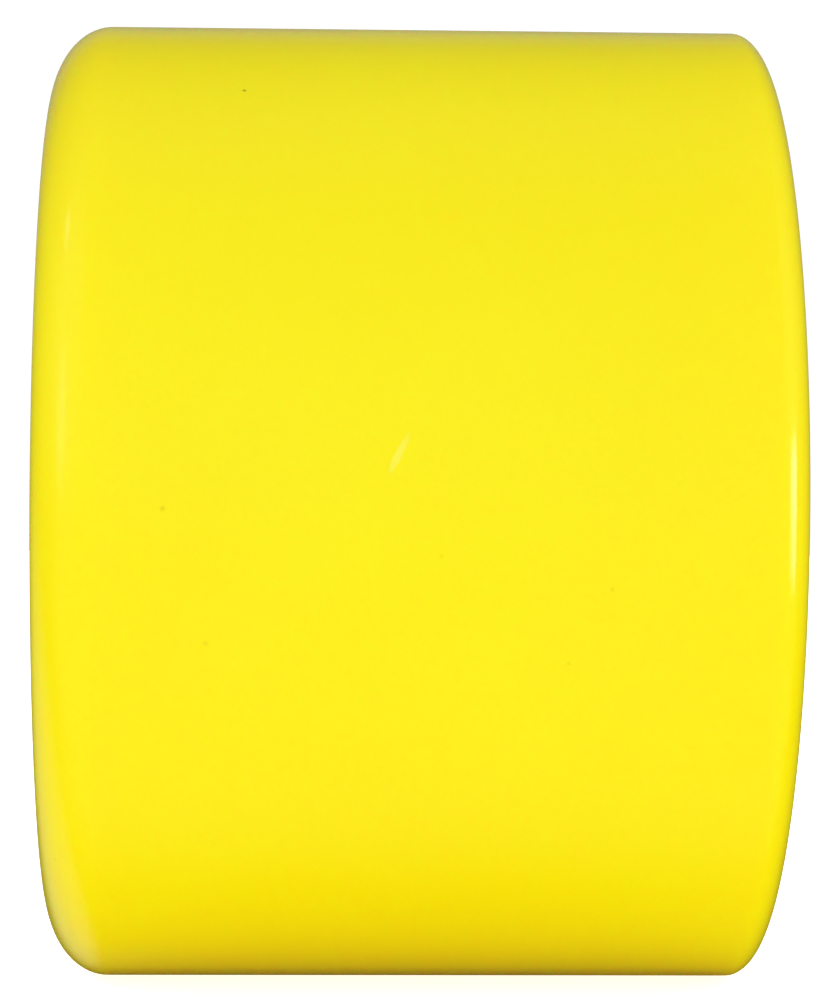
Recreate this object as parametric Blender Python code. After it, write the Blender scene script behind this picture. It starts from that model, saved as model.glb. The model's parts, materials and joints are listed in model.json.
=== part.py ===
"""A cast urethane skate wheel on its moulded core, with two serviceable 608 ball bearings,
the spacer between them and a speed washer on each side. The axle runs along Y through the origin.
The side where the axle nut goes is at -Y, and the side of the truck's hanger is at +Y."""

from math import acos, cos, pi, sin, tan, tau

import bmesh
import bpy
from mathutils import Matrix, Vector

MM = 0.001

# Driving dimensions of the wheel
TREAD_RADIUS = 35.0 * MM
HALF_WIDTH = 26.0 * MM
# The lip that was cast against the mould is fuller than the one that was cut on the lathe.
LIPS = {-1: (4.4 * MM, 5.9 * MM), 1: (2.2 * MM, 3.8 * MM)}  # (along the axle, in radius)
SIDE_LAND = 2.0 * MM  # flat ring inside each lip, on which the wheel lies when it is put down

# Bearing size 608: 8 mm bore, 22 mm outside, 7 mm wide
BORE_RADIUS = 4.0 * MM
BEARING_RADIUS = 11.0 * MM
BEARING_HALF = 3.5 * MM
PITCH_RADIUS = 7.5 * MM
BALL_RADIUS = 1.9845 * MM  # a 5/32 inch ball
BALL_COUNT = 7
INNER_SHOULDER = 6.05 * MM
OUTER_SHOULDER = 9.0 * MM
SPACER_HALF = 5.0 * MM
BEARING_CENTRE = SPACER_HALF + BEARING_HALF

# Clearances
SEAT_GAP = 0.1 * MM  # between pieces that are pressed, clamped or cast together
BALL_PLAY = 0.08 * MM  # between a ball and the bottom of its groove
GROOVE_RADIUS = BALL_RADIUS + 0.08 * MM

# Core
SEAT_RADIUS = BEARING_RADIUS + SEAT_GAP
SHOULDER_BORE = 9.3 * MM
HUB_RADIUS = 13.2 * MM
RIM_INSIDE = 18.8 * MM
RIM_RADIUS = 20.5 * MM
CORE_HALF = BEARING_CENTRE + BEARING_HALF + 0.4 * MM
SPOKE_HALF = CORE_HALF - 1.4 * MM
SPOKE_COUNT = 12
SPOKE_THICKNESS = 2.0 * MM
WINDOW_MARGIN = 0.4 * MM  # of web left along the hub and along the rim
WINDOW_CORNER = 0.9 * MM
KEY_RADIUS = 24.0 * MM  # the ring round the core that the urethane grips
KEY_HALF = 1.6 * MM
KEY_HOLES = 12
KEY_HOLE_RADIUS = 1.5 * MM
KEY_CIRCLE = (RIM_RADIUS + KEY_RADIUS) / 2

# Urethane round the core
EDGE_RADIUS = 19.4 * MM
EDGE_HALF = CORE_HALF + 0.9 * MM
DISH_RADIUS = 22.0 * MM
DISH_HALF = EDGE_HALF + 0.5 * MM

# Shield, snap ring and cage
POCKET_RADIUS = 9.7 * MM
POCKET_FLOOR = 2.7 * MM
CLIP_GROOVE_RADIUS = 10.0 * MM
CLIP_GROOVE = (3.0 * MM, 3.35 * MM)
SHIELD_BORE = 6.3 * MM
SHIELD_STEP = 8.8 * MM
SHIELD_PLATE = 0.2 * MM
CAGE_INSIDE = 6.65 * MM
CAGE_OUTSIDE = 8.35 * MM
CAGE_BACK = -2.35 * MM
CAGE_FRONT = 1.3 * MM
CAGE_POCKET = BALL_RADIUS + 0.17 * MM

# Washer
WASHER_THICKNESS = 1.0 * MM
WASHER_RADIUS = 5.9 * MM
WASHER_BORE = 4.15 * MM
SPACER_RADIUS = 6.0 * MM
SPACER_BORE = 4.1 * MM

# Facets round a full turn
WHEEL_STEPS = 48
RACE_STEPS = 28
CAGE_STEPS = 28
PIN_SIDES = 8
BALL_SIDES = 10
BALL_RINGS = 6

FINISHES = {  # base colour, roughness, metallic
    "urethane": ((0.95, 0.79, 0.02, 1), 0.2, 0.0),
    "core_nylon": ((0.80, 0.80, 0.77, 1), 0.45, 0.0),
    "bearing_steel": ((0.62, 0.63, 0.65, 1), 0.25, 1.0),
    "pressed_steel": ((0.55, 0.56, 0.58, 1), 0.35, 1.0),
    "spring_steel": ((0.30, 0.31, 0.33, 1), 0.35, 1.0),
    "cage_nylon": ((0.05, 0.13, 0.35, 1), 0.5, 0.0),
    "turned_aluminium": ((0.75, 0.76, 0.78, 1), 0.35, 1.0),
    "plated_steel": ((0.70, 0.70, 0.70, 1), 0.3, 1.0),
}


def finish(name):
    """The material of that name, made the first time that it is asked for."""
    if name in bpy.data.materials:
        return bpy.data.materials[name]
    colour, roughness, metallic = FINISHES[name]
    material = bpy.data.materials.new(name)
    material.use_nodes = True
    surface = material.node_tree.nodes["Principled BSDF"]
    surface.inputs["Base Color"].default_value = colour
    surface.inputs["Roughness"].default_value = roughness
    surface.inputs["Metallic"].default_value = metallic
    return material


def placed(name, shape, material=None, parent=None, at=(0, 0, 0)):
    """A new object of that bmesh, with its faces pointing out, shaded smooth."""
    bmesh.ops.recalc_face_normals(shape, faces=shape.faces[:])
    mesh = bpy.data.meshes.new(name)
    shape.to_mesh(mesh)
    shape.free()
    mesh.shade_smooth()
    mesh.set_sharp_from_angle(angle=pi / 6)
    piece = bpy.data.objects.new(name, mesh)
    bpy.context.scene.collection.objects.link(piece)
    piece.parent = parent
    piece.location = at
    if material:
        mesh.materials.append(finish(material))
    return piece


def helper(name, shape, parent=None):
    """An object that only cuts or joins another one."""
    piece = placed(name, shape, parent=parent)
    piece.hide_render = True
    piece.display_type = "WIRE"
    return piece


def boolean(piece, operation, tool):
    """Cuts the tool from the piece, or joins it to the piece."""
    modifier = piece.modifiers.new(operation.lower(), "BOOLEAN")
    modifier.operation = operation
    modifier.solver = "EXACT"
    modifier.object = tool


def rounded(corners, steps=2):
    """The closed outline through (along, radius, fillet) corners, with an arc at each fillet."""
    outline = []
    for before, corner, after in zip(corners[-1:] + corners[:-1], corners, corners[1:] + corners[:1]):
        here = Vector(corner[:2])
        fillet = corner[2]
        if not fillet:
            outline.append(here)
            continue
        back = (Vector(before[:2]) - here).normalized()
        onward = (Vector(after[:2]) - here).normalized()
        half = back.angle(onward) / 2
        centre = here + (back + onward).normalized() * fillet / sin(half)
        first = (here + back * fillet / tan(half) - centre).normalized()
        last = (here + onward * fillet / tan(half) - centre).normalized()
        outline += [centre + fillet * first.slerp(last, step / steps) for step in range(steps + 1)]
    return outline


def spun(outline, steps, turn=tau):
    """A bmesh of the closed outline of (along the axle, radius) points, spun about the axle."""
    shape = bmesh.new()
    loop = [shape.verts.new((radius, along, 0)) for along, radius in outline]
    edges = [shape.edges.new(pair) for pair in zip(loop, loop[1:] + loop[:1])]
    full = turn == tau
    bmesh.ops.spin(
        shape, geom=loop + edges, axis=(0, 1, 0), cent=(0, 0, 0), angle=turn, steps=steps, use_merge=full
    )
    if not full:
        bmesh.ops.holes_fill(shape, edges=[edge for edge in shape.edges if edge.is_boundary], sides=0)
    return shape


def pins(circle, radius, half_length):
    """A bmesh of round pins along the axle, evenly spaced on a circle of that radius."""
    shape = bmesh.new()
    for index in range(KEY_HOLES):
        turn = Matrix.Rotation(tau * index / KEY_HOLES, 4, "Y")
        stand = Matrix.Translation((circle, 0, 0)) @ Matrix.Rotation(pi / 2, 4, "X")
        bmesh.ops.create_cone(
            shape, cap_ends=True, segments=PIN_SIDES, radius1=radius, radius2=radius,
            depth=2 * half_length, matrix=turn @ stand,
        )
    return shape


def lip(side):
    """The quarter ellipse from the tread round to the flat side of the wheel."""
    along, radial = LIPS[side]
    steps = 5
    turns = [pi / 2 * step / steps for step in range(steps + 1)]
    return [
        (side * (HALF_WIDTH - along * (1 - sin(turn))), TREAD_RADIUS - radial * (1 - cos(turn)), 0)
        for turn in turns
    ]


def tyre_side(side):
    """Corners of the tyre from the tread, round the lip and down the dish to the core."""
    land_inside = TREAD_RADIUS - LIPS[side][1] - SIDE_LAND
    return lip(side) + [
        (side * HALF_WIDTH, land_inside, 1.2 * MM),
        (side * DISH_HALF, DISH_RADIUS, 2.5 * MM),
        (side * EDGE_HALF, EDGE_RADIUS, 0.3 * MM),
        (side * (CORE_HALF + SEAT_GAP), EDGE_RADIUS, 0),
        (side * (CORE_HALF + SEAT_GAP), RIM_RADIUS + SEAT_GAP, 0),
        (side * (KEY_HALF + SEAT_GAP), RIM_RADIUS + SEAT_GAP, 0),
        (side * (KEY_HALF + SEAT_GAP), KEY_RADIUS + SEAT_GAP, 0),
    ]


def make_tyre():
    """The urethane, cast round the core and through the holes of its key ring."""
    tyre = placed("tyre", spun(rounded(tyre_side(1) + tyre_side(-1)[::-1]), WHEEL_STEPS), "urethane")
    pegs = pins(KEY_CIRCLE, KEY_HOLE_RADIUS - SEAT_GAP, 2 * KEY_HALF)
    boolean(tyre, "UNION", helper("tyre_pegs", pegs))


def window():
    """A bmesh of one gap between spokes, right through the core, with rounded corners."""
    shape = bmesh.new()
    hub_arc = (HUB_RADIUS + WINDOW_MARGIN, (-1, 0, 1))
    rim_arc = (RIM_INSIDE - WINDOW_MARGIN, (1, 0.5, 0, -0.5, -1))
    outline = []
    for radius, steps in (hub_arc, rim_arc):
        reach = pi / SPOKE_COUNT - SPOKE_THICKNESS / 2 / radius
        outline += [(radius * cos(reach * step), -CORE_HALF, radius * sin(reach * step)) for step in steps]
    face = shape.faces.new([shape.verts.new(point) for point in outline])
    grown = bmesh.ops.extrude_face_region(shape, geom=[face])["geom"]
    moved = [item for item in grown if isinstance(item, bmesh.types.BMVert)]
    bmesh.ops.translate(shape, verts=moved, vec=(0, 2 * CORE_HALF, 0))
    corners = [
        edge for edge in shape.edges
        if abs(edge.verts[0].co.y - edge.verts[1].co.y) > CORE_HALF and edge.calc_face_angle() > pi / 4
    ]
    bmesh.ops.bevel(
        shape, geom=corners, offset=WINDOW_CORNER, segments=1, profile=0.5, affect="EDGES", material=-1
    )
    return shape


def make_core():
    """The moulded core: bearing seats, spokes, rim and the key ring that holds the urethane."""
    half = [
        (CORE_HALF, SEAT_RADIUS, 0.3 * MM),
        (CORE_HALF, HUB_RADIUS, 0.3 * MM),
        (SPOKE_HALF, HUB_RADIUS, 0),
        (SPOKE_HALF, RIM_INSIDE, 0),
        (CORE_HALF, RIM_INSIDE, 0.3 * MM),
        (CORE_HALF, RIM_RADIUS, 0),
        (KEY_HALF, RIM_RADIUS, 0),
        (KEY_HALF, KEY_RADIUS, 0),
    ]
    inside = [
        (SPACER_HALF - SEAT_GAP, SHOULDER_BORE, 0),
        (SPACER_HALF - SEAT_GAP, SEAT_RADIUS, 0),
    ]
    right = inside + half
    left = [(-along, radius, fillet) for along, radius, fillet in reversed(right)]
    core = placed("core", spun(rounded(right + left, steps=1), WHEEL_STEPS), "core_nylon")

    windows = bmesh.new()
    for index in range(SPOKE_COUNT):
        one = window()
        one.transform(Matrix.Rotation(tau * (index + 0.5) / SPOKE_COUNT, 4, "Y"))
        part = bpy.data.meshes.new("window")
        one.to_mesh(part)
        one.free()
        windows.from_mesh(part)
        bpy.data.meshes.remove(part)
    boolean(core, "DIFFERENCE", helper("core_windows", windows))
    boolean(core, "DIFFERENCE", helper("core_key_holes", pins(KEY_CIRCLE, KEY_HOLE_RADIUS, 2 * KEY_HALF)))


def raceway(shoulder, outward):
    """Points of a ball groove from its +Y shoulder to its -Y one. outward is 1 in the outer race."""
    centre = PITCH_RADIUS + outward * (BALL_RADIUS + BALL_PLAY - GROOVE_RADIUS)
    reach = acos(abs(shoulder - centre) / GROOVE_RADIUS)
    steps = 5
    turns = [reach * (1 - 2 * step / steps) for step in range(steps + 1)]
    return [(GROOVE_RADIUS * sin(turn), centre + outward * GROOVE_RADIUS * cos(turn), 0) for turn in turns]


def outer_race():
    """Ring with the outer ball groove and, at each end, a shield pocket with a snap-ring groove."""
    near, far = CLIP_GROOVE
    end = [
        (BEARING_HALF, BEARING_RADIUS, 0.3 * MM),
        (BEARING_HALF, POCKET_RADIUS, 0),
        (far, POCKET_RADIUS, 0),
        (far, CLIP_GROOVE_RADIUS, 0),
        (near, CLIP_GROOVE_RADIUS, 0),
        (near, POCKET_RADIUS, 0),
        (POCKET_FLOOR, POCKET_RADIUS, 0),
        (POCKET_FLOOR, OUTER_SHOULDER, 0),
    ]
    other_end = [(-along, radius, fillet) for along, radius, fillet in reversed(end)]
    return spun(rounded(end + raceway(OUTER_SHOULDER, 1) + other_end, steps=1), RACE_STEPS)


def inner_race():
    """Ring that the axle goes through, with the inner ball groove."""
    end = [(BEARING_HALF, BORE_RADIUS, 0.3 * MM), (BEARING_HALF, INNER_SHOULDER, 0.2 * MM)]
    other_end = [(-along, radius, fillet) for along, radius, fillet in reversed(end)]
    return spun(rounded(end + raceway(INNER_SHOULDER, -1) + other_end, steps=1), RACE_STEPS)


def shield(side):
    """Pressed disc that closes a bearing. side is 1 for the one that faces away from the spacer."""
    foot = POCKET_FLOOR + 0.05 * MM
    raised = foot + SHIELD_PLATE
    outline = [
        (foot, POCKET_RADIUS - SEAT_GAP),
        (foot, SHIELD_STEP),
        (raised, SHIELD_STEP - 0.2 * MM),
        (raised, SHIELD_BORE),
        (raised + SHIELD_PLATE, SHIELD_BORE),
        (raised + SHIELD_PLATE, SHIELD_STEP),
        (raised, SHIELD_STEP + 0.2 * MM),
        (raised, POCKET_RADIUS - SEAT_GAP),
    ]
    return spun([(side * along, radius) for along, radius in outline], RACE_STEPS)


def snap_ring(side):
    """Split spring ring that sits in the groove outside a shield."""
    near, far = (edge + play for edge, play in zip(CLIP_GROOVE, (0.03 * MM, -0.03 * MM)))
    inside = POCKET_RADIUS - 0.4 * MM
    outside = CLIP_GROOVE_RADIUS - 0.05 * MM
    outline = [(near, inside), (far, inside), (far, outside), (near, outside)]
    return spun([(side * along, radius) for along, radius in outline], 22, turn=tau * 0.92)


def ball(radius):
    """A bmesh of one ball."""
    shape = bmesh.new()
    bmesh.ops.create_uvsphere(shape, u_segments=BALL_SIDES, v_segments=BALL_RINGS, radius=radius)
    return shape


def ball_place(index):
    """The centre of a ball of the bearing, from the bearing's own centre."""
    turn = tau * index / BALL_COUNT
    return Vector((PITCH_RADIUS * cos(turn), 0, PITCH_RADIUS * sin(turn)))


def make_cage(name, bearing):
    """The crown cage: a ring with a snap-in pocket for each ball, open towards the shield."""
    outline = [
        (CAGE_BACK, CAGE_INSIDE), (CAGE_FRONT, CAGE_INSIDE),
        (CAGE_FRONT, CAGE_OUTSIDE), (CAGE_BACK, CAGE_OUTSIDE),
    ]
    cage = placed(name, spun(outline, CAGE_STEPS), "cage_nylon", bearing)
    pockets = bmesh.new()
    for index in range(BALL_COUNT):
        bmesh.ops.create_uvsphere(
            pockets, u_segments=BALL_SIDES, v_segments=BALL_RINGS, radius=CAGE_POCKET,
            matrix=Matrix.Translation(ball_place(index)),
        )
    boolean(cage, "DIFFERENCE", helper(name + "_pockets", pockets, bearing))
    return cage


def make_bearing(prefix, side):
    """One whole bearing at its place on the axle. Its own +Y points away from the spacer."""
    bearing = bpy.data.objects.new(prefix + "_bearing", None)
    bpy.context.scene.collection.objects.link(bearing)
    bearing.location.y = side * BEARING_CENTRE
    bearing.rotation_euler.z = 0 if side > 0 else pi
    placed(prefix + "_outer_race", outer_race(), "bearing_steel", bearing)
    placed(prefix + "_inner_race", inner_race(), "bearing_steel", bearing)
    for word, facing in (("outward", 1), ("inward", -1)):
        placed(f"{prefix}_{word}_shield", shield(facing), "pressed_steel", bearing)
        placed(f"{prefix}_{word}_snap_ring", snap_ring(facing), "spring_steel", bearing)
    cage = make_cage(prefix + "_cage", bearing)
    for index in range(BALL_COUNT):
        placed(f"{prefix}_ball_{index + 1}", ball(BALL_RADIUS), "bearing_steel", cage, ball_place(index))


def make_spacer():
    """The tube that keeps the two inner races apart when the axle nut is tight."""
    end = SPACER_HALF - SEAT_GAP
    corners = [
        (end, SPACER_BORE, 0.2 * MM), (end, SPACER_RADIUS, 0.3 * MM),
        (-end, SPACER_RADIUS, 0.3 * MM), (-end, SPACER_BORE, 0.2 * MM),
    ]
    placed("spacer", spun(rounded(corners, steps=1), RACE_STEPS), "turned_aluminium")


def make_washer(prefix, side):
    """The speed washer outside a bearing, on which the axle nut or the hanger presses."""
    near = BEARING_CENTRE + BEARING_HALF + SEAT_GAP
    far = near + WASHER_THICKNESS - SEAT_GAP
    corners = [
        (side * near, WASHER_BORE, 0), (side * near, WASHER_RADIUS, 0.15 * MM),
        (side * far, WASHER_RADIUS, 0.15 * MM), (side * far, WASHER_BORE, 0.15 * MM),
    ]
    placed(prefix + "_washer", spun(rounded(corners, steps=1), RACE_STEPS), "plated_steel")


def main():
    for old in list(bpy.data.objects):
        bpy.data.objects.remove(old)
    make_tyre()
    make_core()
    make_spacer()
    for prefix, side in (("nut_side", -1), ("hanger_side", 1)):
        make_bearing(prefix, side)
        make_washer(prefix, side)


main()
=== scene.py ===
"""A cast urethane skate wheel on its moulded core, with two serviceable 608 ball bearings,
the spacer between them and a speed washer on each side. Every piece is turned, pierced or cut
round the axle, which runs along Y through the origin. The nut's side is at -Y, the hanger's at +Y."""

import json
from math import acos, cos, pi, radians, sin, tan, tau

import bmesh
import bpy
from mathutils import Matrix, Vector

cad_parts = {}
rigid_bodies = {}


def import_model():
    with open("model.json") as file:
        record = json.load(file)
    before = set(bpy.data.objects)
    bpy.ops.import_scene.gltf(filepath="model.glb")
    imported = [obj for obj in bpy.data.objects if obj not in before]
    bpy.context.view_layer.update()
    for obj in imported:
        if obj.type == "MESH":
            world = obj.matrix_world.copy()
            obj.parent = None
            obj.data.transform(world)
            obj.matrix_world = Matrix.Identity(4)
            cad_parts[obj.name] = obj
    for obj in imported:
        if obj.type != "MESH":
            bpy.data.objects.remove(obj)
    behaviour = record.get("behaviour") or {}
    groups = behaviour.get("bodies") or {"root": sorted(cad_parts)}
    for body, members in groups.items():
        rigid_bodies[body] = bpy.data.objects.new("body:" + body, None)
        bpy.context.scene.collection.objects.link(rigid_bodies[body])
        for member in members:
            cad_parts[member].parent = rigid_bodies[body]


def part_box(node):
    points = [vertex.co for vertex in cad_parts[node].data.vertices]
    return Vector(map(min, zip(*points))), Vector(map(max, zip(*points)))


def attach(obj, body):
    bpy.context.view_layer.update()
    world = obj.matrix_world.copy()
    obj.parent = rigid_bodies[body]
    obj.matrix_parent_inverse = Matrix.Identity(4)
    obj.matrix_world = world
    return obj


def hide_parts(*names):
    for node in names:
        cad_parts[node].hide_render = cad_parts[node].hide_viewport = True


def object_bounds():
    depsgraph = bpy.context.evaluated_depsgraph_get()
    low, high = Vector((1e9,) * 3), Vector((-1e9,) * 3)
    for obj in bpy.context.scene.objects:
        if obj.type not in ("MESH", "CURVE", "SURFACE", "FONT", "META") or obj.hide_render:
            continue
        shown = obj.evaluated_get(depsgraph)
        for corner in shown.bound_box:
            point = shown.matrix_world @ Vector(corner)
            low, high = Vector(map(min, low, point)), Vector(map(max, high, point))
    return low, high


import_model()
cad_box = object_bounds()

MM = 0.001
SAME_PLACE = 0.0005 * MM  # vertices nearer than this are one vertex
SIDES = {"nut_side": -1, "hanger_side": 1}

# Tyre. The lip that was cast against the mould is fuller than the one that was cut on the lathe.
TREAD_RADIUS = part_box("tyre")[1].z
HALF_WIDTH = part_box("tyre")[1].y
LIPS = {-1: (4.4 * MM, 5.9 * MM), 1: (2.2 * MM, 3.8 * MM)}  # (along the axle, in radius)
SIDE_LAND = 2.0 * MM
DISH_RADIUS = 22.0 * MM
EDGE_RADIUS = 19.4 * MM

# Core
CORE_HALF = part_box("core")[1].y
KEY_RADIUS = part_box("core")[1].z
SEAT_GAP = 0.1 * MM
SEAT_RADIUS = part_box("nut_side_outer_race")[1].z + SEAT_GAP
SHOULDER_BORE = 9.3 * MM
HUB_RADIUS = 13.2 * MM
RIM_INSIDE = 18.8 * MM
RIM_RADIUS = 20.5 * MM
SPOKE_HALF = CORE_HALF - 1.4 * MM
SPOKE_COUNT = 12
SPOKE_THICKNESS = 2.0 * MM
WINDOW_MARGIN = 0.4 * MM
WINDOW_CORNER = 0.9 * MM
WINDOW_EDGE = 0.2 * MM  # how far the moulding's edge is rounded into a window
KEY_HALF = 1.6 * MM
KEY_HOLES = 12
KEY_HOLE_RADIUS = 1.5 * MM
KEY_CIRCLE = (RIM_RADIUS + KEY_RADIUS) / 2
EDGE_HALF = CORE_HALF + 0.9 * MM
DISH_HALF = EDGE_HALF + 0.5 * MM

# Bearings
BORE_RADIUS = 4.0 * MM
BEARING_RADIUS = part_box("nut_side_outer_race")[1].z
BEARING_HALF = 3.5 * MM
PITCH_RADIUS = 7.5 * MM
BALL_RADIUS = 1.9845 * MM
BALL_PLAY = 0.08 * MM
GROOVE_RADIUS = BALL_RADIUS + 0.08 * MM
BALL_COUNT = 7
INNER_SHOULDER = 6.05 * MM
OUTER_SHOULDER = 9.0 * MM
POCKET_RADIUS = 9.7 * MM
POCKET_FLOOR = 2.7 * MM
CLIP_GROOVE_RADIUS = 10.0 * MM
CLIP_GROOVE = (3.0 * MM, 3.35 * MM)
CLIP_PLAY = 0.03 * MM
CLIP_DEPTH = 0.4 * MM  # how far it stands in from the pocket's wall
CLIP_TURN = tau * 0.92
SHIELD_BORE = 6.3 * MM
SHIELD_STEP = 8.8 * MM
SHIELD_PLATE = 0.2 * MM
CAGE_INSIDE = 6.65 * MM
CAGE_OUTSIDE = 8.35 * MM
CAGE_BACK = -2.35 * MM
CAGE_FRONT = 1.3 * MM
CAGE_POCKET = BALL_RADIUS + 0.17 * MM

# Spacer and washers
SPACER_HALF = 5.0 * MM
SPACER_BORE = 4.1 * MM
WASHER_BORE = 4.15 * MM

# Facets round a full turn
WHEEL_STEPS = 240
RACE_STEPS = 144
BALL_SIDES = 48
BALL_RINGS = 24
HOLE_SIDES = 24
LIP_SEGMENTS = 20
RACEWAY_STEPS = 20  # across a ball groove
WINDOW_STEPS = 4  # from a window's wall to the face round it

# Specks of the urethane as (place, radius, how dark), and one paler, duller slanting mark on the tread
SPECKS = [
    ((20.56 * MM, -11.9 * MM, 28.32 * MM), 0.12 * MM, 0.75),
    ((34.99 * MM, -16.99 * MM, -0.67 * MM), 0.16 * MM, 0.18),
    ((22.77 * MM, -24.47 * MM, -24.67 * MM), 0.12 * MM, 0.15),
    ((33.68 * MM, -14.15 * MM, -9.51 * MM), 0.16 * MM, 0.12),
    ((34.51 * MM, 12.55 * MM, -5.81 * MM), 0.14 * MM, 0.12),
    ((33.31 * MM, 9.8 * MM, -10.73 * MM), 0.14 * MM, 0.1),
    ((34.8 * MM, 1.27 * MM, -3.7 * MM), 0.12 * MM, 0.08),
    ((-30.4 * MM, 7.3 * MM, 17.3 * MM), 0.13 * MM, 0.4),
    ((-12.1 * MM, -18.2 * MM, 32.8 * MM), 0.12 * MM, 0.3),
]
MARK_PLACE = (34.86 * MM, -1.55 * MM, 3.0 * MM)
MARK_SIZE = (1.5 * MM, 0.34 * MM, 1.95 * MM)
MARK_SLANT = -radians(27)

# The sockets of a colour Mix node, and the share of its coordinates in which a wave repeats
MIX_A, MIX_B, MIX_RESULT = 6, 7, 2
WAVE_REPEAT = tau / 20

# Camera, and the light tent
CAMERA_PLACE = (284.85 * MM, -10.294 * MM, -1.526 * MM)
YAW, PITCH, ROLL = 0.03922, 0.00605, 0.00585
FOCAL_LENGTH = 137.52
TENT_FRONT, TENT_BACK, TENT_TOP = 1.46, 0.76, 0.8
GLOSS_FRONT, GLOSS_BACK, GLOSS_BELOW = 0.28, 0.1, 0.02
BURNT_OUT = 1.05  # the tent, to the camera
PAPER_GLOW = (0.1, 0.82)  # to other rays, and to the camera
FLOOR_LIGHT = (0, 90, 0.9, (1.6, 1.6), 0.28)
METAL_LIGHTS = {  # as the softboxes, but the azimuth is how far round from the axle's end
    "metal_fill": (0, -6, 0.5, (0.9, 0.6), 0.5),
    "metal_key": (-22, -10, 0.49, (0.26, 0.26), 0.75),
}
SOFTBOXES = {  # azimuth, elevation, distance, (width, height), radiance
    "hanger_side_softbox": (60.5, -1.5, 0.8, (0.47, 0.36), 2.7),
    "hanger_side_softbox_core": (66, -1.0, 0.79, (0.3, 0.26), 3.0),
}
GLOWS = [  # azimuth, elevation, where it starts and where it is full in degrees off, radiance
    (-76, 13, 14, 5, 0.65),
    (-97, 39, 4.5, 2, 1.3),
    (-65, 28, 40, 10, 0.22),
    (55, 25, 45, 15, 0.2),
    (180, 13, 26, 6, 0.14),
    (-140, -30, 34, 15, 0.32),
]


def bent(shape, corners, closed=True):
    """Edges through (along, radius, fillet) corners in the plane of the axle and +X, returned as
    spin wants them. A fillet of None rounds a corner right up to its neighbours, as a lip is."""
    line = [shape.verts.new((radius, along, 0)) for along, radius, _ in corners]
    ends = zip(line, line[1:] + line[:1]) if closed else zip(line, line[1:])
    for pair in list(ends):
        shape.edges.new(pair)
    places = [vert.co.copy() for vert in line]
    for index, (_, _, fillet) in enumerate(corners):
        if fillet == 0:
            continue
        here = places[index]
        back = places[index - 1] - here
        onward = places[(index + 1) % len(corners)] - here
        lip = fillet is None
        bmesh.ops.bevel(
            shape, geom=[line[index]],
            offset=100 if lip else fillet / tan(back.angle(onward) / 2),
            offset_type="PERCENT" if lip else "OFFSET",
            segments=LIP_SEGMENTS if lip else 5,
            profile=0.5, affect="VERTICES", material=-1,
        )
    bmesh.ops.remove_doubles(shape, verts=shape.verts[:], dist=SAME_PLACE)
    return shape.verts[:] + shape.edges[:]


def turned(corners, steps, closed=True, turn=tau):
    """A bmesh of the outline through those corners, turned about the axle."""
    shape = bmesh.new()
    geom = bent(shape, corners, closed)
    full = turn == tau
    bmesh.ops.spin(
        shape, geom=geom, axis=(0, 1, 0), cent=(0, 0, 0), angle=turn, steps=steps, use_merge=full
    )
    if not full:
        ends = [edge for edge in shape.edges if edge.is_boundary]
        bmesh.ops.holes_fill(shape, edges=ends, sides=0)
    return shape


def mirrored(corners):
    """The corners of a +Y end, and then the same ones of the -Y end."""
    return corners + [(-along, radius, fillet) for along, radius, fillet in reversed(corners)]


def joined(*shapes):
    """One bmesh of several."""
    whole = bmesh.new()
    for shape in shapes:
        part = bpy.data.meshes.new("part")
        shape.to_mesh(part)
        shape.free()
        whole.from_mesh(part)
        bpy.data.meshes.remove(part)
    return whole


def repeated(shape, count):
    """Copies the bmesh round the axle until there are that many, evenly spaced."""
    geom = shape.verts[:] + shape.edges[:] + shape.faces[:]
    bmesh.ops.spin(
        shape, geom=geom, axis=(0, 1, 0), cent=(0, 0, 0),
        angle=tau * (count - 1) / count, steps=count - 1, use_duplicate=True,
    )
    return shape


def walled(shape, *places):
    """Closes the flat ring at each place along the axle, round the ends of the holes there."""
    for along in places:
        rims = [
            edge for edge in shape.edges
            if not edge.is_manifold and all(abs(vert.co.y - along) < SAME_PLACE for vert in edge.verts)
        ]
        bmesh.ops.triangle_fill(shape, use_beauty=True, edges=rims, normal=(0, 1, 0))
    return shape


def made(name, shape, body, node, slot, at=Matrix.Identity(4), finish=None):
    """The finished piece of that bmesh. It stands for its CAD node and rides on its body."""
    shape.transform(at)
    bmesh.ops.remove_doubles(shape, verts=shape.verts[:], dist=SAME_PLACE)
    bmesh.ops.recalc_face_normals(shape, faces=shape.faces[:])
    mesh = bpy.data.meshes.new(name)
    shape.to_mesh(mesh)
    shape.free()
    mesh.shade_smooth()
    mesh.set_sharp_from_angle(angle=radians(35))
    piece = bpy.data.objects.new(name, mesh)
    bpy.context.scene.collection.objects.link(piece)
    flats = piece.modifiers.new("flats_stay_flat", "WEIGHTED_NORMAL")
    flats.keep_sharp = True
    mesh.materials.append(finish or FINISHES[slot])
    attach(piece, body)
    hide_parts(node)


def pegs(radius, half):
    """Open round tubes through the key ring, one at each of its holes."""
    shape = bmesh.new()
    for along in (-half, half):
        stand = Matrix.Translation((KEY_CIRCLE, along, 0)) @ Matrix.Rotation(pi / 2, 4, "X")
        bmesh.ops.create_circle(shape, cap_ends=False, segments=HOLE_SIDES, radius=radius, matrix=stand)
    bmesh.ops.bridge_loops(shape, edges=shape.edges[:])
    return repeated(shape, KEY_HOLES)


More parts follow.
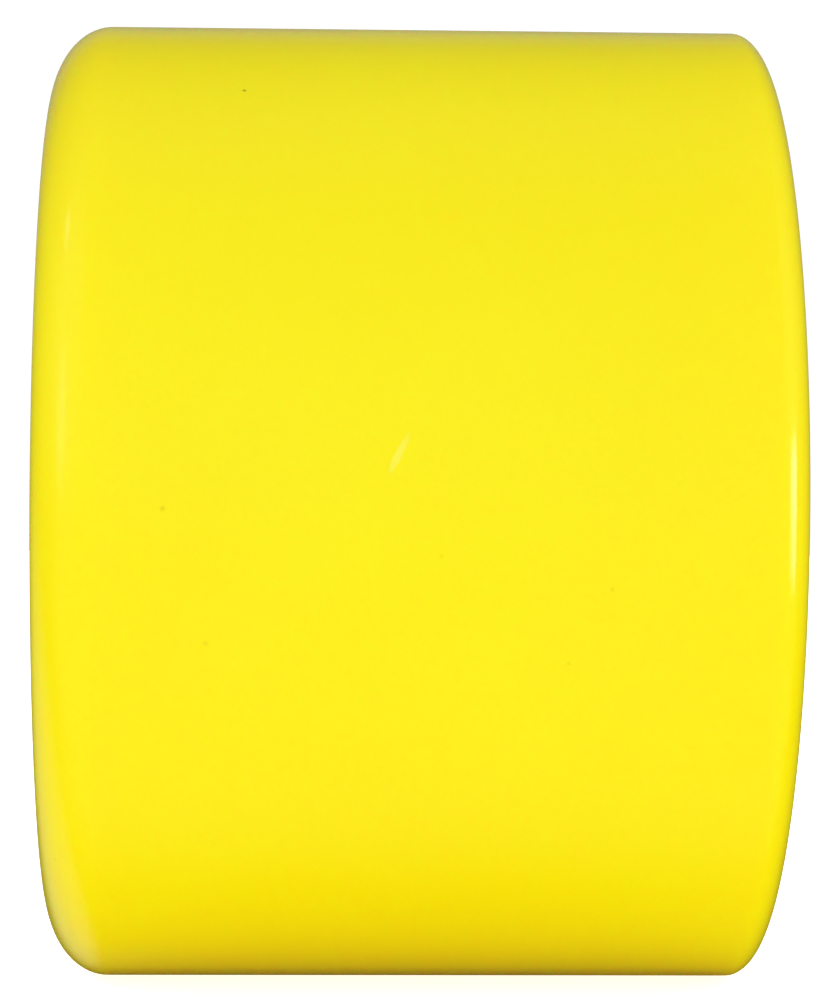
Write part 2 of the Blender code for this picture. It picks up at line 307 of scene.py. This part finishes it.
def make_tyre():
    """The urethane: tread, lips, side lands and dishes, and the groove and pegs that grip the core."""
    groove_half = KEY_HALF + SEAT_GAP
    inside = RIM_RADIUS + SEAT_GAP
    flank = []
    for side in (1, -1):
        along, radial = LIPS[side]
        corners = [
            (side * (HALF_WIDTH - along), TREAD_RADIUS, 0),
            (side * HALF_WIDTH, TREAD_RADIUS, None),
            (side * HALF_WIDTH, TREAD_RADIUS - radial, 0),
            (side * HALF_WIDTH, TREAD_RADIUS - radial - SIDE_LAND, 1.2 * MM),
            (side * DISH_HALF, DISH_RADIUS, 2.5 * MM),
            (side * EDGE_HALF, EDGE_RADIUS, 0.3 * MM),
            (side * (CORE_HALF + SEAT_GAP), EDGE_RADIUS, 0),
            (side * (CORE_HALF + SEAT_GAP), inside, 0),
            (side * groove_half, inside, 0),
        ]
        flank.append(corners[::-side])
    outer = turned(flank[0] + flank[1], WHEEL_STEPS, closed=False)
    groove = KEY_RADIUS + SEAT_GAP
    floor = turned([(-groove_half, groove, 0), (groove_half, groove, 0)], WHEEL_STEPS, closed=False)
    shape = joined(outer, floor, pegs(KEY_HOLE_RADIUS - SEAT_GAP, groove_half))
    made("cast_tyre", walled(shape, -groove_half, groove_half), "wheel", "tyre", "urethane")


def window_loop(shape, along, grow):
    """Draws the outline of one gap between spokes at that place along the axle, that much too large."""
    hub = HUB_RADIUS + WINDOW_MARGIN - grow
    rim = RIM_INSIDE - WINDOW_MARGIN + grow
    corners = []
    for radius, forward in ((hub, 1), (rim, -1)):
        turn = forward * (pi / SPOKE_COUNT - (SPOKE_THICKNESS / 2 - grow) / radius)
        start = shape.verts.new((radius * cos(turn), along, radius * sin(turn)))
        grown = bmesh.ops.spin(
            shape, geom=[start], axis=(0, 1, 0), cent=(0, 0, 0), angle=2 * turn, steps=8
        )["geom_last"]
        last = next(item for item in grown if isinstance(item, bmesh.types.BMVert))
        corners.append((start, last))
    (a, b), (c, d) = corners
    shape.edges.new((b, c))
    shape.edges.new((d, a))
    bmesh.ops.bevel(
        shape, geom=[a, b, c, d], offset=WINDOW_CORNER + grow, offset_type="OFFSET", segments=6,
        profile=0.5, affect="VERTICES", material=-1,
    )


def windows():
    """Open tubes, one for each gap between spokes, with the moulding's edge rounded into them."""
    shape = bmesh.new()
    levels = []
    for step in range(WINDOW_STEPS + 1):
        turn = pi / 2 * step / WINDOW_STEPS
        levels.append((SPOKE_HALF - WINDOW_EDGE * (1 - cos(turn)), WINDOW_EDGE * (1 - sin(turn))))
    for along, grow in levels + [(-along, grow) for along, grow in reversed(levels)]:
        window_loop(shape, along, grow)
    bmesh.ops.bridge_loops(shape, edges=shape.edges[:])
    shape.transform(Matrix.Rotation(pi / SPOKE_COUNT, 4, "Y"))
    return repeated(shape, SPOKE_COUNT)


def make_core():
    """The moulded core: bearing seats, spokes, rim and the key ring inside the urethane."""
    seat = SPACER_HALF - SEAT_GAP
    hub = turned(
        mirrored([
            (SPOKE_HALF, HUB_RADIUS + 0.15 * MM, 0),
            (SPOKE_HALF, HUB_RADIUS, 0.14 * MM),
            (CORE_HALF, HUB_RADIUS, 0.3 * MM),
            (CORE_HALF, SEAT_RADIUS, 0.3 * MM),
            (seat, SEAT_RADIUS, 0),
            (seat, SHOULDER_BORE, 0.15 * MM),
        ]),
        WHEEL_STEPS, closed=False,
    )
    rims = [
        turned(
            [
                (side * SPOKE_HALF, RIM_INSIDE - 0.15 * MM, 0),
                (side * SPOKE_HALF, RIM_INSIDE, 0.14 * MM),
                (side * CORE_HALF, RIM_INSIDE, 0.3 * MM),
                (side * CORE_HALF, RIM_RADIUS, 0),
                (side * KEY_HALF, RIM_RADIUS, 0),
            ],
            WHEEL_STEPS, closed=False,
        )
        for side in (1, -1)
    ]
    key = turned([(-KEY_HALF, KEY_RADIUS, 0), (KEY_HALF, KEY_RADIUS, 0)], WHEEL_STEPS, closed=False)
    shape = joined(hub, *rims, key, windows(), pegs(KEY_HOLE_RADIUS, KEY_HALF))
    walled(shape, -SPOKE_HALF, -KEY_HALF, KEY_HALF, SPOKE_HALF)
    made("moulded_core", shape, "wheel", "core", "core_nylon")


def raceway(shoulder, outward):
    """Corners of a ball groove from its +Y shoulder to its -Y one. outward is 1 in the outer race."""
    centre = PITCH_RADIUS + outward * (BALL_RADIUS + BALL_PLAY - GROOVE_RADIUS)
    reach = acos(abs(shoulder - centre) / GROOVE_RADIUS)
    turns = [reach * (1 - 2 * step / RACEWAY_STEPS) for step in range(RACEWAY_STEPS + 1)]
    return [(GROOVE_RADIUS * sin(turn), centre + outward * GROOVE_RADIUS * cos(turn), 0) for turn in turns]


def facing(corners, side):
    """The same corners for a piece that faces that way along the axle."""
    return [(side * along, radius, fillet) for along, radius, fillet in corners]


def outer_race():
    """Ring with the outer ball groove and, at each end, a shield pocket with a snap-ring groove."""
    near, far = CLIP_GROOVE
    end = [
        (BEARING_HALF, BEARING_RADIUS, 0.3 * MM),
        (BEARING_HALF, POCKET_RADIUS, 0.06 * MM),
        (far, POCKET_RADIUS, 0),
        (far, CLIP_GROOVE_RADIUS, 0),
        (near, CLIP_GROOVE_RADIUS, 0),
        (near, POCKET_RADIUS, 0),
        (POCKET_FLOOR, POCKET_RADIUS, 0),
        (POCKET_FLOOR, OUTER_SHOULDER, 0),
    ]
    return turned(end + raceway(OUTER_SHOULDER, 1) + facing(end[::-1], -1), RACE_STEPS)


def inner_race():
    """Ring that the axle goes through, with the inner ball groove."""
    end = [(BEARING_HALF, BORE_RADIUS, 0.3 * MM), (BEARING_HALF, INNER_SHOULDER, 0.2 * MM)]
    return turned(end + raceway(INNER_SHOULDER, -1) + facing(end[::-1], -1), RACE_STEPS)


def shield(side):
    """Pressed disc that closes a bearing. side is 1 for the one that faces away from the spacer."""
    foot = POCKET_FLOOR + 0.05 * MM
    raised = foot + SHIELD_PLATE
    corners = [
        (foot, POCKET_RADIUS - SEAT_GAP, 0),
        (foot, SHIELD_STEP, 0.1 * MM),
        (raised, SHIELD_STEP - 0.2 * MM, 0.1 * MM),
        (raised, SHIELD_BORE, 0.04 * MM),
        (raised + SHIELD_PLATE, SHIELD_BORE, 0.08 * MM),
        (raised + SHIELD_PLATE, SHIELD_STEP, 0.1 * MM),
        (raised, SHIELD_STEP + 0.2 * MM, 0.1 * MM),
        (raised, POCKET_RADIUS - SEAT_GAP, 0.05 * MM),
    ]
    return turned(facing(corners, side), RACE_STEPS)


def snap_ring(side):
    """Split spring ring that sits in the groove outside a shield."""
    near, far = CLIP_GROOVE[0] + CLIP_PLAY, CLIP_GROOVE[1] - CLIP_PLAY
    inside = POCKET_RADIUS - CLIP_DEPTH
    outside = CLIP_GROOVE_RADIUS - 0.05 * MM
    edge = 0.09 * MM
    corners = [(near, inside, edge), (far, inside, edge), (far, outside, edge), (near, outside, edge)]
    return turned(facing(corners, side), RACE_STEPS, turn=CLIP_TURN)


def ball_place(index):
    """The centre of a ball of the bearing, from the bearing's own centre."""
    turn = tau * index / BALL_COUNT
    return Vector((PITCH_RADIUS * cos(turn), 0, PITCH_RADIUS * sin(turn)))


def balls(radius, places):
    """A bmesh of a ball of that radius at each place."""
    shape = bmesh.new()
    for place in places:
        bmesh.ops.create_uvsphere(
            shape, u_segments=BALL_SIDES, v_segments=BALL_RINGS, radius=radius,
            matrix=Matrix.Translation(place),
        )
    return shape


def cut(shape, tool):
    """The bmesh with the closed bmesh tool taken out of it."""
    things = []
    for part in (shape, tool):
        bmesh.ops.recalc_face_normals(part, faces=part.faces[:])
        mesh = bpy.data.meshes.new("cut")
        part.to_mesh(mesh)
        part.free()
        thing = bpy.data.objects.new("cut", mesh)
        bpy.context.scene.collection.objects.link(thing)
        things.append(thing)
    work = things[0].modifiers.new("cut", "BOOLEAN")
    work.operation = "DIFFERENCE"
    work.solver = "EXACT"
    work.object = things[1]
    seen = things[0].evaluated_get(bpy.context.evaluated_depsgraph_get())
    left = bmesh.new()
    left.from_mesh(seen.to_mesh())
    seen.to_mesh_clear()
    for thing in things:
        bpy.data.meshes.remove(thing.data)
    return left


def cage():
    """The crown cage: a ring with a snap-in pocket for each ball, open towards the shield."""
    edge = 0.15 * MM
    ring = turned(
        [
            (CAGE_BACK, CAGE_INSIDE, edge), (CAGE_FRONT, CAGE_INSIDE, edge),
            (CAGE_FRONT, CAGE_OUTSIDE, edge), (CAGE_BACK, CAGE_OUTSIDE, edge),
        ],
        RACE_STEPS,
    )
    return cut(ring, balls(CAGE_POCKET, [ball_place(index) for index in range(BALL_COUNT)]))


def make_bearing(prefix, side):
    """One whole bearing. Its own +Y points away from the spacer, and its middle is its races'."""
    low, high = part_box(prefix + "_outer_race")
    at = Matrix.Translation((low + high) / 2) @ Matrix.Rotation(0 if side > 0 else pi, 4, "Z")
    rings = {
        "outer_race": ("ground", outer_race(), "wheel", "bearing_steel"),
        "inner_race": ("ground", inner_race(), "axle_stack", "bearing_steel"),
        "outward_shield": ("pressed", shield(1), "wheel", "pressed_steel"),
        "inward_shield": ("pressed", shield(-1), "wheel", "pressed_steel"),
        "outward_snap_ring": ("sprung", snap_ring(1), "wheel", "spring_steel"),
        "inward_snap_ring": ("sprung", snap_ring(-1), "wheel", "spring_steel"),
        "cage": ("moulded", cage(), prefix + "_cage", "cage_nylon"),
    }
    for word, (how, shape, body, slot) in rings.items():
        made(f"{prefix}_{how}_{word}", shape, body, f"{prefix}_{word}", slot, at)
    for index in range(BALL_COUNT):
        node = f"{prefix}_ball_{index + 1}"
        shape = balls(BALL_RADIUS, [ball_place(index)])
        made(f"{prefix}_lapped_ball_{index + 1}", shape, node, node, "bearing_steel", at, POLISHED)


def make_spacer():
    """The tube that keeps the two inner races apart when the axle nut is tight."""
    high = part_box("spacer")[1]
    corners = mirrored([(high.y, SPACER_BORE, 0.2 * MM), (high.y, high.z, 0.3 * MM)])
    made("turned_spacer", turned(corners, RACE_STEPS), "axle_stack", "spacer", "turned_aluminium")


def make_washer(prefix):
    """The speed washer outside a bearing, on which the axle nut or the hanger presses."""
    low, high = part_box(prefix + "_washer")
    near, far = sorted((low.y, high.y), key=abs)
    corners = [
        (near, WASHER_BORE, 0.05 * MM), (near, high.z, 0.12 * MM),
        (far, high.z, 0.22 * MM), (far, WASHER_BORE, 0.12 * MM),
    ]
    shape = turned(corners, RACE_STEPS)
    made(prefix + "_plated_washer", shape, "axle_stack", prefix + "_washer", "plated_steel")


def linear(hex_colour):
    """A colour written as sRGB hex, as the linear RGBA that a shader takes."""
    parts = [int(hex_colour[start:start + 2], 16) / 255 for start in (1, 3, 5)]
    return [part / 12.92 if part <= 0.04045 else ((part + 0.055) / 1.055) ** 2.4 for part in parts] + [1.0]


def per_mm(size):
    """The scale of a pattern whose grain or cell is that many millimetres."""
    return 1 / (size * MM)


def add(tree, kind, inputs=None, **settings):
    """Adds a node with its settings. An input is a value, or the output of another node."""
    node = tree.nodes.new(kind)
    for name, value in settings.items():
        setattr(node, name, value)
    for socket, value in (inputs or {}).items():
        if isinstance(value, bpy.types.NodeSocket):
            tree.links.new(value, node.inputs[socket])
        else:
            node.inputs[socket].default_value = value
    return node


def shaded(name, colour, **surface):
    """A new material with that colour and those values on its shader, its tree, its shader, and
    the place on the piece."""
    new = bpy.data.materials.new(name)
    new.use_nodes = True
    tree = new.node_tree
    shader = tree.nodes["Principled BSDF"]
    shader.inputs["Base Color"].default_value = linear(colour)
    for socket, value in surface.items():
        shader.inputs[socket.replace("_", " ")].default_value = value
    new.metallic = surface.get("Metallic", 0.0)  # the viewport's too, which light_pieces sorts by
    return new, tree, shader, add(tree, "ShaderNodeTexCoord").outputs["Object"]


def drifting(tree, place, size, low, high):
    """A value that wanders between low and high over patches of that many millimetres."""
    patches = add(tree, "ShaderNodeTexNoise", {"Vector": place, "Scale": per_mm(size), "Detail": 3.0})
    return add(
        tree, "ShaderNodeMapRange",
        {"Value": patches.outputs["Fac"], "From Min": 0.3, "From Max": 0.7, "To Min": low, "To Max": high},
    ).outputs["Result"]


def embossed(tree, shader, *heights):
    """Raises the surface by each (pattern from 0 to 1, depth in metres)."""
    bump = None
    for pattern, depth in heights:
        inputs = {"Height": pattern, "Distance": depth}
        if bump:
            inputs["Normal"] = bump
        bump = add(tree, "ShaderNodeBump", inputs).outputs["Normal"]
    tree.links.new(bump, shader.inputs["Normal"])


def cast_urethane():
    """Polyurethane with its pigment right through, cast in a polished mould: wet-looking gloss
    with a trace of flow in it, and shadows that go warm because light travels inside. The side
    that was trimmed on the lathe keeps faint rings."""
    new, tree, shader, place = shaded(
        "cast_urethane", "#FBE904", IOR=1.5, Subsurface_Weight=0.7,
        Subsurface_Radius=(1.0, 0.3, 0.02), Subsurface_Scale=4.0 * MM,
    )
    cloud = drifting(tree, place, 22, 0, 1)
    pigment = add(
        tree, "ShaderNodeMix", {0: cloud, MIX_A: linear("#FBE803"), MIX_B: linear("#FCEB07")},
        data_type="RGBA",
    ).outputs[MIX_RESULT]
    # A thin slanting lens on the tread is painted paler and made duller.
    lens = add(
        tree, "ShaderNodeMapping",
        {"Vector": place, "Location": MARK_PLACE, "Rotation": (MARK_SLANT, 0, 0), "Scale": MARK_SIZE},
        vector_type="TEXTURE",
    ).outputs["Vector"]
    ragged = add(tree, "ShaderNodeTexNoise", {"Vector": place, "Scale": per_mm(0.4), "Detail": 1.0})
    away = add(tree, "ShaderNodeVectorMath", {0: lens}, operation="LENGTH").outputs["Value"]
    torn = add(
        tree, "ShaderNodeMath", {0: ragged.outputs["Fac"], 1: 0.8, 2: away}, operation="MULTIPLY_ADD"
    ).outputs["Value"]
    mark = add(
        tree, "ShaderNodeMapRange", {"Value": torn, "From Min": 1.4, "From Max": 0.8, "To Max": 0.42},
        interpolation_type="SMOOTHSTEP",
    ).outputs["Result"]
    skin = add(
        tree, "ShaderNodeMix", {0: mark, MIX_A: pigment, MIX_B: linear("#FFF56A")}, data_type="RGBA"
    ).outputs[MIX_RESULT]
    # A few specks of dark pigment lie in the skin.
    for centre, radius, depth in SPECKS:
        off = add(tree, "ShaderNodeVectorMath", {0: place, 1: centre}, operation="DISTANCE")
        speck = add(
            tree, "ShaderNodeMapRange",
            {"Value": off.outputs["Value"], "From Min": radius * 1.5, "From Max": radius * 0.4,
             "To Max": depth},
        ).outputs["Result"]
        skin = add(
            tree, "ShaderNodeMix", {0: speck, MIX_A: skin, MIX_B: linear("#6E5A10")}, data_type="RGBA"
        ).outputs[MIX_RESULT]
    tree.links.new(skin, shader.inputs["Base Color"])

    gloss = drifting(tree, place, 14, 0.11, 0.16)
    dull = add(tree, "ShaderNodeMath", {0: mark, 1: 0.3, 2: gloss}, operation="MULTIPLY_ADD")
    tree.links.new(dull.outputs["Value"], shader.inputs["Roughness"])

    flow = add(tree, "ShaderNodeTexNoise", {"Vector": place, "Scale": per_mm(3.0), "Detail": 1.0})
    # A lathe leaves a ring every 0.1 mm. They are drawn at 0.28 mm so that they show.
    rings = add(
        tree, "ShaderNodeTexWave",
        {"Vector": place, "Scale": per_mm(0.28) * WAVE_REPEAT, "Distortion": 0.4, "Detail": 1.0},
        wave_type="RINGS", rings_direction="Y", wave_profile="SIN",
    ).outputs["Fac"]
    along = add(tree, "ShaderNodeSeparateXYZ", {"Vector": place}).outputs["Y"]
    trimmed = add(
        tree, "ShaderNodeMapRange",
        {"Value": along, "From Min": HALF_WIDTH - 0.5 * MM, "From Max": HALF_WIDTH - 0.1 * MM},
    ).outputs["Result"]
    cut_rings = add(tree, "ShaderNodeMath", {0: rings, 1: trimmed}, operation="MULTIPLY").outputs["Value"]
    embossed(tree, shader, (flow.outputs["Fac"], 0.0012 * MM), (cut_rings, 0.0015 * MM))
    return new


def moulded_nylon(name, dark, light, texture):
    """Glass-filled nylon from a spark-eroded mould: satin, with a fine even grain, and cloudy
    where the fibres lie differently."""
    new, tree, shader, place = shaded(
        name, light, IOR=1.53, Subsurface_Weight=0.12, Subsurface_Radius=(1.0, 0.9, 0.8),
        Subsurface_Scale=0.5 * MM,
    )
    cloud = drifting(tree, place, 5, 0, 1)
    tint = add(
        tree, "ShaderNodeMix", {0: cloud, MIX_A: linear(dark), MIX_B: linear(light)}, data_type="RGBA"
    )
    tree.links.new(tint.outputs[MIX_RESULT], shader.inputs["Base Color"])
    tree.links.new(drifting(tree, place, 3, 0.4, 0.52), shader.inputs["Roughness"])
    # Spark erosion leaves grains of about 0.05 mm. They are drawn at four times that.
    grains = add(tree, "ShaderNodeTexNoise", {"Vector": place, "Scale": per_mm(0.2), "Detail": 2.0})
    swirl = add(tree, "ShaderNodeTexNoise", {"Vector": place, "Scale": per_mm(2.5), "Detail": 1.0})
    embossed(tree, shader, (swirl.outputs["Fac"], 0.006 * MM), (grains.outputs["Fac"], texture))
    return new


def machined(name, colour, pitch, depth, low, high):
    """Metal cut or ground round the axle: fine rings on its faces and fine threads on its rounds
    stretch each highlight into a bow. The marks are drawn coarser than the real ones to show."""
    new, tree, shader, place = shaded(name, colour, Metallic=1.0)
    tree.links.new(drifting(tree, place, 1.6, low, high), shader.inputs["Roughness"])
    marks = []
    for kind, direction in (("RINGS", "rings_direction"), ("BANDS", "bands_direction")):
        wave = add(
            tree, "ShaderNodeTexWave",
            {"Vector": place, "Scale": per_mm(pitch) * WAVE_REPEAT, "Distortion": 1.5, "Detail": 3.0,
             "Detail Scale": 2.0},
            wave_type=kind, wave_profile="SIN", **{direction: "Y"},
        )
        marks.append((wave.outputs["Fac"], depth))
    embossed(tree, shader, *marks)
    return new


def sheet_steel(name, colour, stain, size, low, high, grain, depth):
    """Steel that was rolled or drawn and then pressed or plated: an even skin with faint stains,
    a little cloudy in its gloss, and a fine pebbled texture."""
    new, tree, shader, place = shaded(name, colour, Metallic=1.0)
    blotch = drifting(tree, place, size, 0, 1)
    tint = add(
        tree, "ShaderNodeMix", {0: blotch, MIX_A: linear(colour), MIX_B: linear(stain)}, data_type="RGBA"
    )
    tree.links.new(tint.outputs[MIX_RESULT], shader.inputs["Base Color"])
    tree.links.new(drifting(tree, place, size / 2, low, high), shader.inputs["Roughness"])
    pebbles = add(tree, "ShaderNodeTexNoise", {"Vector": place, "Scale": per_mm(grain), "Detail": 2.0})
    embossed(tree, shader, (pebbles.outputs["Fac"], depth))
    return new


def polished_ball():
    """Chrome steel lapped to a mirror, with the faintest haze."""
    new, tree, shader, place = shaded("lapped_chrome_steel", "#D2D3D6", Metallic=1.0)
    tree.links.new(drifting(tree, place, 0.8, 0.05, 0.1), shader.inputs["Roughness"])
    return new


FINISHES = {
    "urethane": cast_urethane(),
    # The core: natural nylon, off-white, without any gloss that forms a picture
    "core_nylon": moulded_nylon("moulded_nylon", "#DEDCD1", "#E9E7DE", 0.012 * MM),
    # The ball cages: the same nylon in dark blue, moulded smoother
    "cage_nylon": moulded_nylon("cage_nylon", "#17366C", "#1E4482", 0.006 * MM),
    # The races: chrome steel off the grinding wheel, nearly a mirror under its fine rings
    "bearing_steel": machined("ground_chrome_steel", "#CBCCD0", 0.16, 0.0004 * MM, 0.16, 0.28),
    # The spacer: aluminium as the lathe left it, softer and paler than the steel
    "turned_aluminium": machined("turned_aluminium", "#DDDEE0", 0.24, 0.002 * MM, 0.24, 0.38),
    # The shields: thin stainless sheet, drawn to shape, with a soft waviness
    "pressed_steel": sheet_steel(
        "pressed_stainless", "#C4C5C8", "#B4B4B6", 3.0, 0.2, 0.34, 0.6, 0.001 * MM
    ),
    # The snap rings: wire that was hardened and went dark in the oven
    "spring_steel": sheet_steel(
        "blued_spring_steel", "#7A7B80", "#5F6066", 1.2, 0.28, 0.42, 0.15, 0.001 * MM
    ),
    # The washers: zinc from the bath, bright, with a yellowish passivated bloom
    "plated_steel": sheet_steel(
        "bright_zinc_plate", "#D3D6DA", "#CDCBBD", 1.5, 0.18, 0.36, 0.3, 0.0025 * MM
    ),
}
POLISHED = polished_ball()


def make_camera():
    """The camera looks along -X at the tread, level with the axle."""
    ahead = Vector((-cos(YAW) * cos(PITCH), sin(YAW) * cos(PITCH), sin(PITCH)))
    level = ahead.cross(Vector((0, 0, 1))).normalized()
    upright = level.cross(ahead)
    right = cos(ROLL) * level + sin(ROLL) * upright
    top = cos(ROLL) * upright - sin(ROLL) * level
    lens = bpy.data.cameras.new("camera")
    lens.sensor_width = 36.0
    lens.lens = FOCAL_LENGTH
    lens.clip_start = 1 * MM
    camera = bpy.data.objects.new("camera", lens)
    bpy.context.scene.collection.objects.link(camera)
    turn = Matrix((right, top, -ahead)).transposed().to_4x4()
    camera.matrix_world = Matrix.Translation(CAMERA_PLACE) @ turn
    bpy.context.scene.camera = camera


def heading(azimuth, elevation):
    """The direction that many degrees round from +X towards +Y, and above the horizon."""
    turn, lift = radians(azimuth), radians(elevation)
    return Vector((cos(turn) * cos(lift), sin(turn) * cos(lift), sin(lift)))


def softbox(name, azimuth, elevation, distance, size, radiance):
    """A flat soft light that faces the wheel and that only shows as a highlight in its gloss."""
    width, height = size
    light = bpy.data.lights.new(name, "AREA")
    light.shape = "RECTANGLE"
    light.size, light.size_y = width, height
    light.energy = radiance * pi * width * height
    lamp = bpy.data.objects.new(name, light)
    bpy.context.scene.collection.objects.link(lamp)
    way = heading(azimuth, elevation)
    lamp.location = way * distance
    lamp.rotation_mode = "QUATERNION"
    lamp.rotation_quaternion = way.to_track_quat("Z", "Y")
    lamp.visible_camera = False
    lamp.visible_diffuse = False
    return lamp


def make_tent():
    """The light tent round the wheel: white to the camera, an even soft light on surfaces, and
    dimmer in their gloss, darkest behind the wheel."""
    world = bpy.data.worlds.new("light_tent")
    world.use_nodes = True
    world.cycles.sampling_method = "NONE"
    bpy.context.scene.world = world
    tree = world.node_tree
    tree.nodes.clear()
    kind = add(tree, "ShaderNodeLightPath").outputs
    way = add(tree, "ShaderNodeTexCoord").outputs["Generated"]
    parts = add(tree, "ShaderNodeSeparateXYZ", {"Vector": way}).outputs

    base = add(
        tree, "ShaderNodeMapRange",
        {"Value": parts["X"], "From Min": -0.7, "From Max": 0.0, "To Min": GLOSS_BACK,
         "To Max": GLOSS_FRONT},
        interpolation_type="SMOOTHSTEP",
    ).outputs["Result"]
    clear = add(
        tree, "ShaderNodeMath", {0: parts["X"], 1: parts["Z"]}, operation="MAXIMUM"
    ).outputs["Value"]
    gloss = add(
        tree, "ShaderNodeMapRange",
        {"Value": clear, "From Min": -0.3, "From Max": 0.35, "To Min": GLOSS_BELOW,
         "To Max": base},
        interpolation_type="SMOOTHSTEP",
    ).outputs["Result"]
    for azimuth, elevation, wide, narrow, radiance in GLOWS:
        near = add(
            tree, "ShaderNodeVectorMath", {0: way, 1: heading(azimuth, elevation)}, operation="DOT_PRODUCT"
        ).outputs["Value"]
        glow = add(
            tree, "ShaderNodeMapRange",
            {"Value": near, "From Min": cos(radians(wide)), "From Max": cos(radians(narrow)),
             "To Max": radiance},
            interpolation_type="SMOOTHSTEP",
        ).outputs["Result"]
        gloss = add(tree, "ShaderNodeMath", {0: gloss, 1: glow}, operation="ADD").outputs["Value"]

    level = add(
        tree, "ShaderNodeMapRange",
        {"Value": parts["X"], "From Min": -1.0, "From Max": 1.0, "To Min": TENT_BACK, "To Max": TENT_FRONT},
    ).outputs["Result"]
    soft = add(
        tree, "ShaderNodeMapRange",
        {"Value": parts["Z"], "To Min": level, "To Max": TENT_TOP},
    ).outputs["Result"]
    seen = add(
        tree, "ShaderNodeMix", {0: kind["Is Glossy Ray"], 2: soft, 3: gloss}, data_type="FLOAT"
    ).outputs[0]
    bright = add(
        tree, "ShaderNodeMix", {0: kind["Is Camera Ray"], 2: seen, 3: BURNT_OUT}, data_type="FLOAT"
    ).outputs[0]
    sky = add(tree, "ShaderNodeBackground", {"Color": (1.0, 1.0, 1.0, 1.0), "Strength": bright})
    add(tree, "ShaderNodeOutputWorld", {"Surface": sky.outputs["Background"]})


def light_only(lamp, things):
    """Lets the lamp light nothing but those objects."""
    lit = bpy.data.collections.new("lit_by_" + lamp.name)
    for thing in things:
        lit.objects.link(thing)
    lamp.light_linking.receiver_collection = lit


def light_pieces():
    """The softboxes for the tyre and core, and others for the bearings: steel has nothing but
    gloss, and it would be burnt out by the first ones."""
    metal, plastic = [], []
    for piece in bpy.data.objects:
        if piece.type == "MESH":
            (metal if piece.data.materials[0].metallic else plastic).append(piece)
    for name, placing in SOFTBOXES.items():
        light_only(softbox(name, *placing), plastic)
    for prefix, side in SIDES.items():
        for part, (turn, elevation, distance, size, radiance) in METAL_LIGHTS.items():
            lamp = softbox(f"{prefix}_{part}", side * 90 + turn, elevation, distance, size, radiance)
            light_only(lamp, metal)


def make_floor():
    """A sheet of white paper under the wheel, burnt out to the camera but for a faint shadow."""
    shape = bmesh.new()
    bmesh.ops.create_grid(
        shape, x_segments=1, y_segments=1, size=4.0, matrix=Matrix.Translation((0, 0, cad_box[0].z))
    )
    mesh = bpy.data.meshes.new("floor")
    shape.to_mesh(mesh)
    shape.free()
    floor = bpy.data.objects.new("floor", mesh)
    bpy.context.scene.collection.objects.link(floor)
    floor.visible_glossy = False
    paper, tree, shader, _ = shaded("white_paper", "#FBFAF9", Roughness=0.9, Specular_IOR_Level=0.0)
    shader.inputs["Emission Color"].default_value = linear("#FFFFFF")
    camera_ray = add(tree, "ShaderNodeLightPath").outputs["Is Camera Ray"]
    low, high = PAPER_GLOW
    glow = add(tree, "ShaderNodeMapRange", {"Value": camera_ray, "To Min": low, "To Max": high})
    tree.links.new(glow.outputs["Result"], shader.inputs["Emission Strength"])
    mesh.materials.append(paper)

    # The paper is overexposed by a lamp of its own, so it throws light up under the wheel.
    lamp = softbox("floor_light", *FLOOR_LIGHT)
    lamp.visible_diffuse = True
    lamp.visible_glossy = False
    light_only(lamp, [floor])


make_tyre()
make_core()
make_spacer()
for prefix, side in SIDES.items():
    make_bearing(prefix, side)
    make_washer(prefix)
make_camera()
light_pieces()
make_tent()
make_floor()
bpy.context.scene.view_settings.view_transform = "Standard"
# Light goes to and fro many times between the tyre and the paper close under it.
bpy.context.scene.cycles.diffuse_bounces = 12
